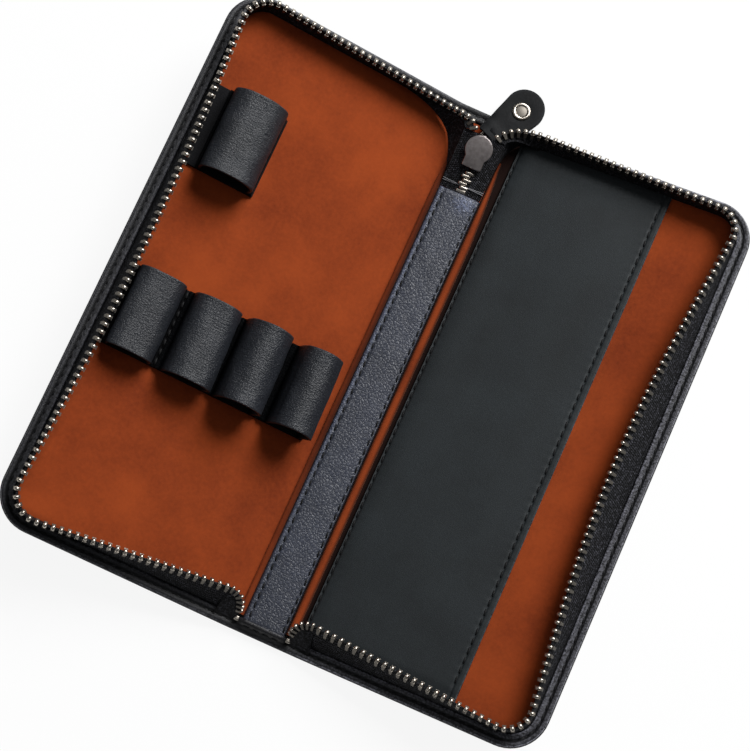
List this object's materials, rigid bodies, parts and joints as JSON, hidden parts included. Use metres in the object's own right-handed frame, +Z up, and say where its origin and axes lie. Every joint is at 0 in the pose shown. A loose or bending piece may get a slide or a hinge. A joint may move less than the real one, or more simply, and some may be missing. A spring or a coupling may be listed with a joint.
{
  "type": "zip-round pen case",
  "caption": "Zip-round leather pen case, open in a shallow V, with formed leather loops, a slip pocket, a spine strip and a riveted pull tab.",
  "frame": {"origin": "middle of the spine's underside, on the surface the open case rests on", "axes": "+Y along the spine towards the zip slider, +X towards the pocket cover, +Z up"},
  "size_m": [0.1704, 0.1861, 0.0304],
  "materials": {
    "outer_leather": "smooth black cowhide, satin",
    "hem_leather": "black cowhide, glossy burnished edge",
    "board": "pressed paper board, covered on both faces",
    "suede": "rust-tan suede with a short nap",
    "strip_leather": "black pebbled leather, satin",
    "pocket_leather": "smooth black leather, matt",
    "loop_leather": "soft black nappa, fine creases",
    "thread": "waxed black thread",
    "zip_tape": "coarse black woven tape",
    "zip_teeth": "polished warm nickel",
    "slider_metal": "brushed gunmetal, bright worn rim",
    "link_metal": "polished nickel wire",
    "tab_leather": "doubled black leather, matt",
    "rivet_metal": "polished nickel cap"
  },
  "bodies": {
    "spine": {"spine_leather": "outer_leather", "spine_board": "board", "spine_lining": "suede", "spine_hems": "hem_leather", "spine_strip": "strip_leather", "strip_stitching": "thread", "tucked_tape": "zip_tape", "closed_chain": "zip_teeth", "bottom_stop": "zip_teeth", "left_top_stop": "zip_teeth", "right_top_stop": "zip_teeth"},
    "left_cover": {"left_cover_leather": "outer_leather", "left_cover_board": "board", "left_cover_lining": "suede", "left_hem": "hem_leather", "left_hem_stitching": "thread", "left_zip_tape": "zip_tape", "left_zip_teeth": "zip_teeth", "left_fold_leather": "outer_leather", "left_fold_lining": "suede", "left_tape_ends": "zip_tape", "left_end_teeth": "zip_teeth", "band_base": "loop_leather", "eraser_base": "loop_leather", "inner_pen_loop": "loop_leather", "outer_pen_loop": "loop_leather", "pencil_loop": "loop_leather", "sharpener_loop": "loop_leather", "eraser_loop": "loop_leather", "loop_stitching": "thread"},
    "right_cover": {"right_cover_leather": "outer_leather", "right_cover_board": "board", "right_cover_lining": "suede", "right_hem": "hem_leather", "right_hem_stitching": "thread", "right_zip_tape": "zip_tape", "right_zip_teeth": "zip_teeth", "right_fold_leather": "outer_leather", "right_fold_lining": "suede", "right_tape_ends": "zip_tape", "right_end_teeth": "zip_teeth", "pocket_panel": "pocket_leather", "pocket_stitching": "thread"},
    "slider": {"slider": "slider_metal"},
    "pull_link": {"pull_link": "link_metal"},
    "pull_tab": {"pull_tab": "tab_leather", "pull_rivet": "rivet_metal"}
  },
  "joints": [
    {"name": "left_fold", "type": "hinge", "parent": "spine", "child": "left_cover", "pos_m": [-0.01075, 0, 0.0006], "axis": [0, 1, 0], "range_deg": [-15.8, 74.2], "deforming": ["left_fold_leather", "left_fold_lining", "left_tape_ends", "left_end_teeth"]},
    {"name": "right_fold", "type": "hinge", "parent": "spine", "child": "right_cover", "pos_m": [0.01075, 0, 0.0006], "axis": [0, -1, 0], "range_deg": [-12.1, 77.9], "deforming": ["right_fold_leather", "right_fold_lining", "right_tape_ends", "right_end_teeth"]},
    {"name": "slider_travel", "type": "slide", "parent": "spine", "child": "slider", "axis": [0, -0.9272, -0.3746], "range_m": [0, 0.0008]},
    {"name": "pull_yaw", "type": "hinge", "parent": "slider", "child": "pull_link", "pos_m": [0, 0.07429, 0.0056], "axis": [0, 0, 1], "range_deg": [-3.6, 22.7]},
    {"name": "tab_swing", "type": "hinge", "parent": "pull_link", "child": "pull_tab", "pos_m": [0.00269, 0.08076, 0.0056], "axis": [-0.9232, 0.3843, 0], "range_deg": [-10, 0]}
  ],
  "couplings": [
    {"joint": "pull_yaw", "follows": "right_fold", "ratio": 0.29012}
  ]
}
